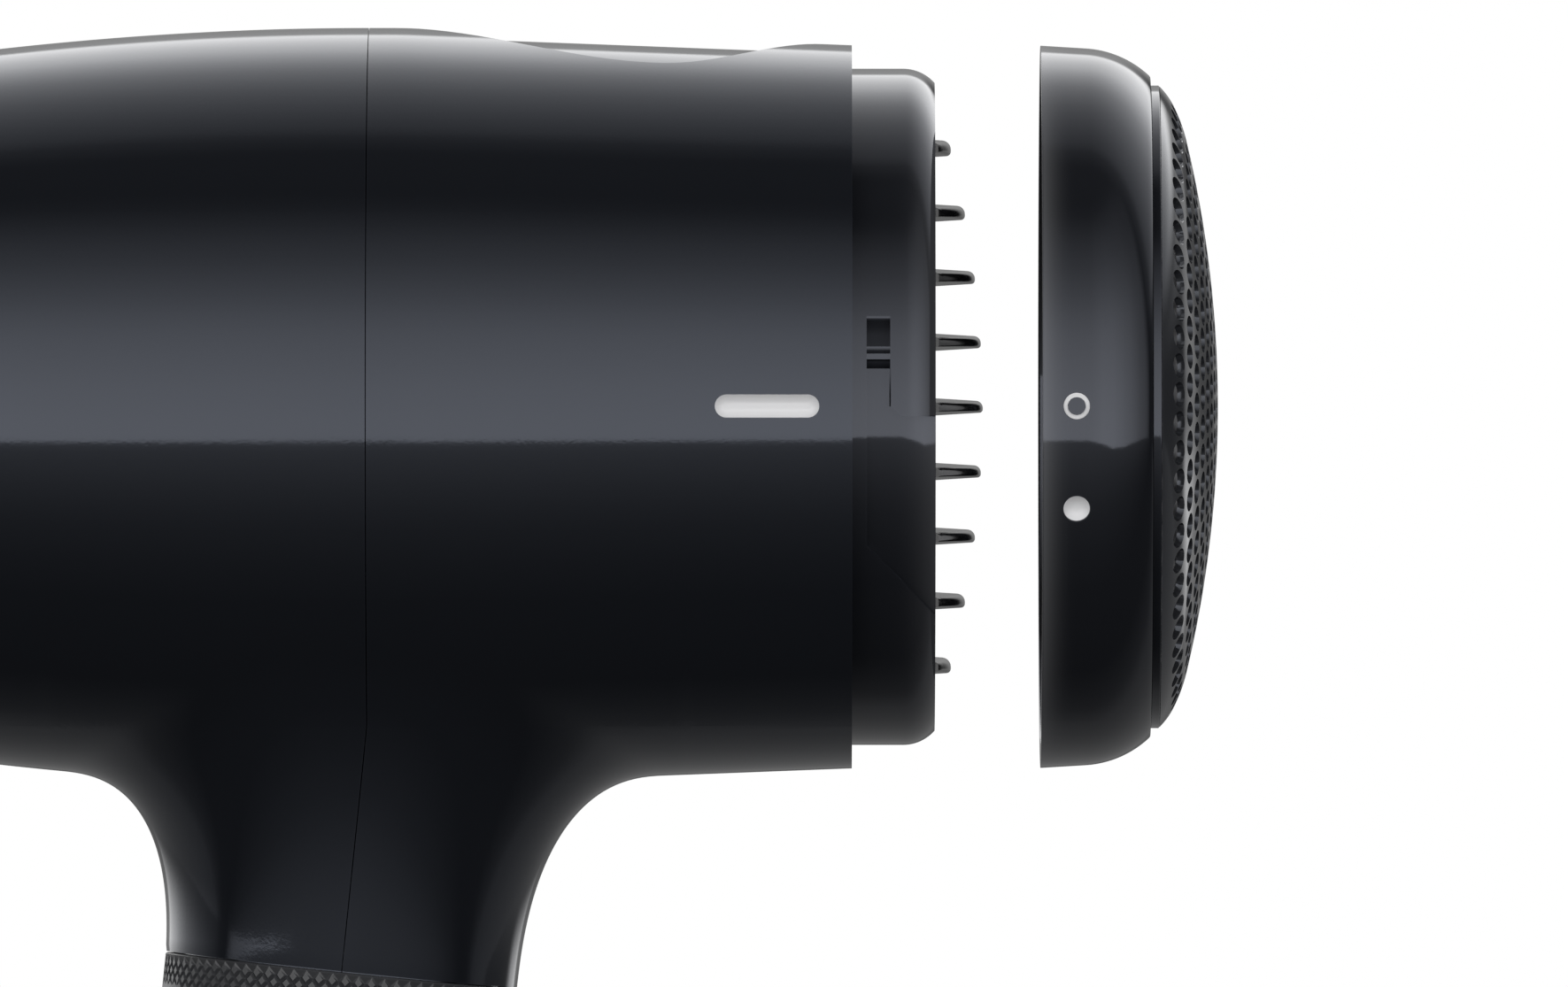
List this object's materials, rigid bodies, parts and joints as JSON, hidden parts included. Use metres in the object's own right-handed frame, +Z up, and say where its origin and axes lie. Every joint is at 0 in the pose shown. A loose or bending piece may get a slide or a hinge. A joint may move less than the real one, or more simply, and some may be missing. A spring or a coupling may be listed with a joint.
{
  "type": "hair dryer",
  "caption": "Hand-held hair dryer with a barrel, a slightly raked knurled handle, an open rear louvre and a bayonet filter cap with a perforated dome, drawn pulled off.",
  "frame": {"origin": "centre of the air outlet's front face, on the barrel's axis", "axes": "+X along the barrel from the outlet to the rear air intake, +Z up with the handle pointing down, marked side facing -Y"},
  "size_m": [0.201, 0.0856, 0.2026],
  "materials": {
    "shell": "satin graphite with a fine grain",
    "mark": "smooth light grey inlay",
    "collar": "glossy black",
    "louvre": "semi-gloss black",
    "grille": "heat-proof black",
    "mica": "matte mica sheet",
    "heating_wire": "bare resistance wire",
    "steel": "plain steel",
    "inner_plastic": "matte dark grey",
    "bronze": "plain sintered bronze",
    "rubber": "matte black",
    "grip": "knurled satin graphite",
    "panel": "semi-gloss black",
    "board": "circuit board",
    "fan": "smooth dark grey",
    "filter_frame": "matte black",
    "filter": "fine black wire mesh",
    "cap": "glossy black",
    "bezel": "glossy black",
    "mesh": "satin graphite sheet",
    "knob": "satin dark grey",
    "button": "satin grey"
  },
  "bodies": {
    "housing": {"front_shell": "shell", "rear_shell": "shell", "index_mark": "mark", "bayonet_collar": "collar", "intake_louvre": "louvre", "outlet_ring": "collar", "outlet_grille": "grille", "heater_liner": "mica", "heater_board_upright": "mica", "heater_board_flat": "mica", "heating_coil": "heating_wire", "thermostat": "steel", "thermal_fuse": "steel", "fan_duct": "inner_plastic", "motor_body": "steel", "motor_bearing_front": "bronze", "motor_bearing_rear": "bronze", "motor_damper_front": "rubber", "motor_damper_rear": "rubber", "grip_sleeve": "grip", "switch_panel": "panel", "speed_switch": "inner_plastic", "heat_switch": "inner_plastic", "cool_shot_switch": "inner_plastic", "control_board": "board", "ion_module": "inner_plastic", "end_cap": "collar", "cord_gland": "rubber", "cord_clamp": "inner_plastic", "clamp_screw_left": "steel", "clamp_screw_right": "steel", "shell_screw_upper": "steel", "shell_screw_lower": "steel", "cool_shot_spring": "steel"},
    "fan": {"motor_shaft": "steel", "fan_impeller": "fan", "fan_nut": "bronze"},
    "filter_insert": {"filter_frame": "filter_frame", "filter_screen": "filter"},
    "filter_cap": {"filter_cap_ring": "cap", "mesh_bezel": "bezel", "cap_mesh_dome": "mesh", "unlock_mark": "mark", "lock_mark": "mark"},
    "speed_knob": {"speed_knob": "knob"},
    "heat_knob": {"heat_knob": "knob"},
    "cool_shot_button": {"cool_shot_button": "button"}
  },
  "joints": [
    {"name": "cap_pull", "type": "slide", "parent": "housing", "child": "filter_insert", "axis": [-1, 0, 0], "range_m": [0, 0.021]},
    {"name": "cap_twist", "type": "hinge", "parent": "filter_insert", "child": "filter_cap", "pos_m": [0.181, 0, 0], "axis": [-1, 0, 0], "range_deg": [0, 16.5]},
    {"name": "fan_spin", "type": "hinge", "parent": "housing", "child": "fan", "pos_m": [0.13, 0, 0], "axis": [-1, 0, 0], "continuous": true},
    {"name": "speed_slide", "type": "slide", "parent": "housing", "child": "speed_knob", "axis": [0.1045, 0, 0.9945], "range_m": [0, 0.008]},
    {"name": "heat_slide", "type": "slide", "parent": "housing", "child": "heat_knob", "axis": [0.1045, 0, 0.9945], "range_m": [0, 0.008]},
    {"name": "cool_shot_press", "type": "slide", "parent": "housing", "child": "cool_shot_button", "axis": [0.9945, 0, -0.1045], "range_m": [0, 0.0015], "stiffness_N_per_m": 400, "springref_m": -0.003, "deforming": ["cool_shot_spring"]}
  ]
}
